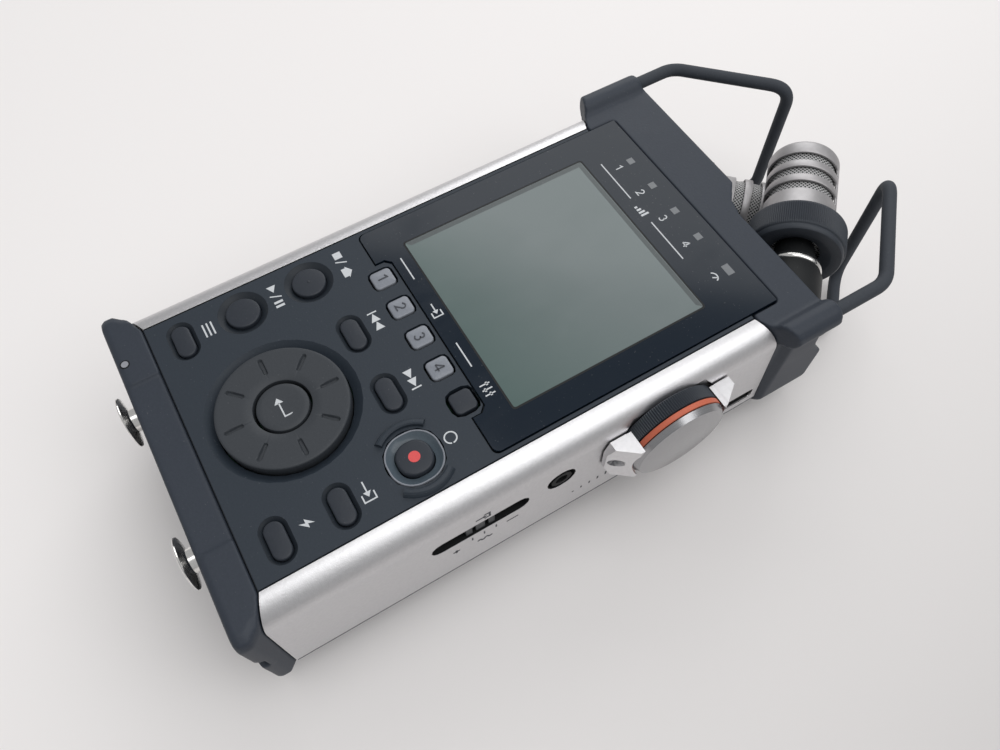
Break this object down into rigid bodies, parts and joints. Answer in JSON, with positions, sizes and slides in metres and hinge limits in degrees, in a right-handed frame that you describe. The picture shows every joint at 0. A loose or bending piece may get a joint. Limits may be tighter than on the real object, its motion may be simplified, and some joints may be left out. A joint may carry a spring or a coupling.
{
  "type": "handheld audio recorder",
  "caption": "Handheld audio recorder with metal sides, display, jog wheel, crossed microphones in wire guards, side level dial and combo input sockets with latches.",
  "frame": {"origin": "centre of the bounding box's lower face, on the surface that the recorder's back lies on", "axes": "+X to the right across the front panel, +Y from the input sockets to the microphones, +Z out of the front panel"},
  "size_m": [0.0794, 0.1636, 0.0409],
  "materials": {
    "panel_plastic": "fine-textured dark blue-grey moulded plastic",
    "key_rubber": "matte dark key rubber",
    "wheel_plastic": "matte dark grey wheel",
    "body_aluminium": "bead-blasted satin anodised aluminium",
    "lens_plastic": "glossy smoked display lens",
    "display_glass": "grey-green liquid crystal display",
    "black_plastic": "black moulded plastic",
    "guard_wire": "powder-coated dark steel wire",
    "orange_band": "orange ring",
    "mic_metal": "turned nickel-plated metal",
    "mic_mesh": "woven wire mesh",
    "latch_metal": "pale plated latch metal",
    "board_fibre": "green circuit board",
    "cell_sleeve": "plain battery sleeve",
    "light_plastic": "translucent grey light guide"
  },
  "bodies": {
    "recorder": {"front_bezel": "panel_plastic", "top_cap": "panel_plastic", "bottom_cap": "panel_plastic", "back_cover": "panel_plastic", "display_lens": "lens_plastic", "lcd_module": "display_glass", "key_board": "board_fibre", "circuit_board": "board_fibre", "left_side_panel": "body_aluminium", "right_side_panel": "body_aluminium", "lower_dial_guard": "body_aluminium", "upper_dial_guard": "body_aluminium", "battery_cell_1": "cell_sleeve", "battery_cell_2": "cell_sleeve", "battery_cell_3": "cell_sleeve", "battery_cell_4": "cell_sleeve", "tripod_bush": "latch_metal", "usb_port": "latch_metal", "speaker": "black_plastic", "level_control": "black_plastic", "remote_jack": "black_plastic", "phones_jack": "black_plastic", "left_combo_jack": "black_plastic", "right_combo_jack": "black_plastic", "left_mic_stem": "black_plastic", "right_mic_stem": "black_plastic", "left_mic_ring": "black_plastic", "right_mic_ring": "black_plastic", "record_light_ring": "light_plastic", "left_wire_guard": "guard_wire", "right_wire_guard": "guard_wire", "left_mic_housing": "mic_metal", "right_mic_housing": "mic_metal", "left_mic_capsule": "mic_mesh", "right_mic_capsule": "mic_mesh"},
    "menu_key": {"menu_key": "key_rubber"},
    "play_key": {"play_key": "key_rubber"},
    "stop_key": {"stop_key": "key_rubber"},
    "previous_key": {"previous_key": "key_rubber"},
    "next_key": {"next_key": "key_rubber"},
    "record_key": {"record_key": "key_rubber"},
    "input_key": {"input_key": "key_rubber"},
    "quick_key": {"quick_key": "key_rubber"},
    "track_key_1": {"track_key_1": "light_plastic"},
    "track_key_2": {"track_key_2": "light_plastic"},
    "track_key_3": {"track_key_3": "light_plastic"},
    "track_key_4": {"track_key_4": "light_plastic"},
    "mixer_key": {"mixer_key": "key_rubber"},
    "enter_key": {"enter_key": "key_rubber"},
    "jog_wheel": {"jog_wheel": "wheel_plastic"},
    "level_ring": {"level_ring": "black_plastic"},
    "level_knob": {"level_knob": "body_aluminium", "level_band": "orange_band"},
    "input_switch": {"input_switch": "black_plastic"},
    "power_switch": {"power_switch": "black_plastic"},
    "volume_key": {"volume_key": "black_plastic"},
    "card_door": {"card_door": "panel_plastic"},
    "battery_door": {"battery_door": "panel_plastic"},
    "left_latch_button": {"left_latch_button": "latch_metal"},
    "right_latch_button": {"right_latch_button": "latch_metal"}
  },
  "joints": [
    {"name": "menu_key_press", "type": "slide", "parent": "recorder", "child": "menu_key", "axis": [0, 0, -1], "range_m": [0, 0.0006], "stiffness_N_per_m": 400},
    {"name": "play_key_press", "type": "slide", "parent": "recorder", "child": "play_key", "axis": [0, 0, -1], "range_m": [0, 0.0006], "stiffness_N_per_m": 400},
    {"name": "stop_key_press", "type": "slide", "parent": "recorder", "child": "stop_key", "axis": [0, 0, -1], "range_m": [0, 0.0006], "stiffness_N_per_m": 400},
    {"name": "previous_key_press", "type": "slide", "parent": "recorder", "child": "previous_key", "axis": [0, 0, -1], "range_m": [0, 0.0006], "stiffness_N_per_m": 400},
    {"name": "next_key_press", "type": "slide", "parent": "recorder", "child": "next_key", "axis": [0, 0, -1], "range_m": [0, 0.0006], "stiffness_N_per_m": 400},
    {"name": "record_key_press", "type": "slide", "parent": "recorder", "child": "record_key", "axis": [0, 0, -1], "range_m": [0, 0.0006], "stiffness_N_per_m": 400},
    {"name": "input_key_press", "type": "slide", "parent": "recorder", "child": "input_key", "axis": [0, 0, -1], "range_m": [0, 0.0006], "stiffness_N_per_m": 400},
    {"name": "quick_key_press", "type": "slide", "parent": "recorder", "child": "quick_key", "axis": [0, 0, -1], "range_m": [0, 0.0006], "stiffness_N_per_m": 400},
    {"name": "track_key_1_press", "type": "slide", "parent": "recorder", "child": "track_key_1", "axis": [0, 0, -1], "range_m": [0, 0.0006], "stiffness_N_per_m": 400},
    {"name": "track_key_2_press", "type": "slide", "parent": "recorder", "child": "track_key_2", "axis": [0, 0, -1], "range_m": [0, 0.0006], "stiffness_N_per_m": 400},
    {"name": "track_key_3_press", "type": "slide", "parent": "recorder", "child": "track_key_3", "axis": [0, 0, -1], "range_m": [0, 0.0006], "stiffness_N_per_m": 400},
    {"name": "track_key_4_press", "type": "slide", "parent": "recorder", "child": "track_key_4", "axis": [0, 0, -1], "range_m": [0, 0.0006], "stiffness_N_per_m": 400},
    {"name": "mixer_key_press", "type": "slide", "parent": "recorder", "child": "mixer_key", "axis": [0, 0, -1], "range_m": [0, 0.0006], "stiffness_N_per_m": 400},
    {"name": "enter_key_press", "type": "slide", "parent": "recorder", "child": "enter_key", "axis": [0, 0, -1], "range_m": [0, 0.0006], "stiffness_N_per_m": 400},
    {"name": "jog_wheel_turn", "type": "hinge", "parent": "recorder", "child": "jog_wheel", "pos_m": [-0.00065, -0.05448, 0.0388], "axis": [0, 0, 1], "continuous": true},
    {"name": "level_ring_turn", "type": "hinge", "parent": "recorder", "child": "level_ring", "pos_m": [0.03535, 0.00893, 0.0278], "axis": [1, 0, 0], "range_deg": [-150, 150]},
    {"name": "level_knob_turn", "type": "hinge", "parent": "recorder", "child": "level_knob", "pos_m": [0.03805, 0.00893, 0.0278], "axis": [1, 0, 0], "range_deg": [-150, 150]},
    {"name": "input_switch_slide", "type": "slide", "parent": "recorder", "child": "input_switch", "axis": [0, 1, 0], "range_m": [-0.005, 0.005]},
    {"name": "power_switch_slide", "type": "slide", "parent": "recorder", "child": "power_switch", "axis": [0, 1, 0], "range_m": [-0.003, 0.003]},
    {"name": "volume_key_rock", "type": "hinge", "parent": "recorder", "child": "volume_key", "pos_m": [-0.03365, 0.00613, 0.026], "axis": [0, 0, 1], "range_deg": [-2.5, 2.5], "stiffness_Nm_per_rad": 0.02},
    {"name": "card_door_swing", "type": "hinge", "parent": "recorder", "child": "card_door", "pos_m": [-0.03605, -0.03637, 0.0195], "axis": [0, -1, 0], "range_deg": [0, 100]},
    {"name": "battery_door_slide", "type": "slide", "parent": "recorder", "child": "battery_door", "axis": [0, 1, 0], "range_m": [0, 0.004]},
    {"name": "left_latch_button_press", "type": "slide", "parent": "recorder", "child": "left_latch_button", "axis": [0, 1, 0], "range_m": [0, 0.0015], "stiffness_N_per_m": 600},
    {"name": "right_latch_button_press", "type": "slide", "parent": "recorder", "child": "right_latch_button", "axis": [0, 1, 0], "range_m": [0, 0.0015], "stiffness_N_per_m": 600}
  ]
}
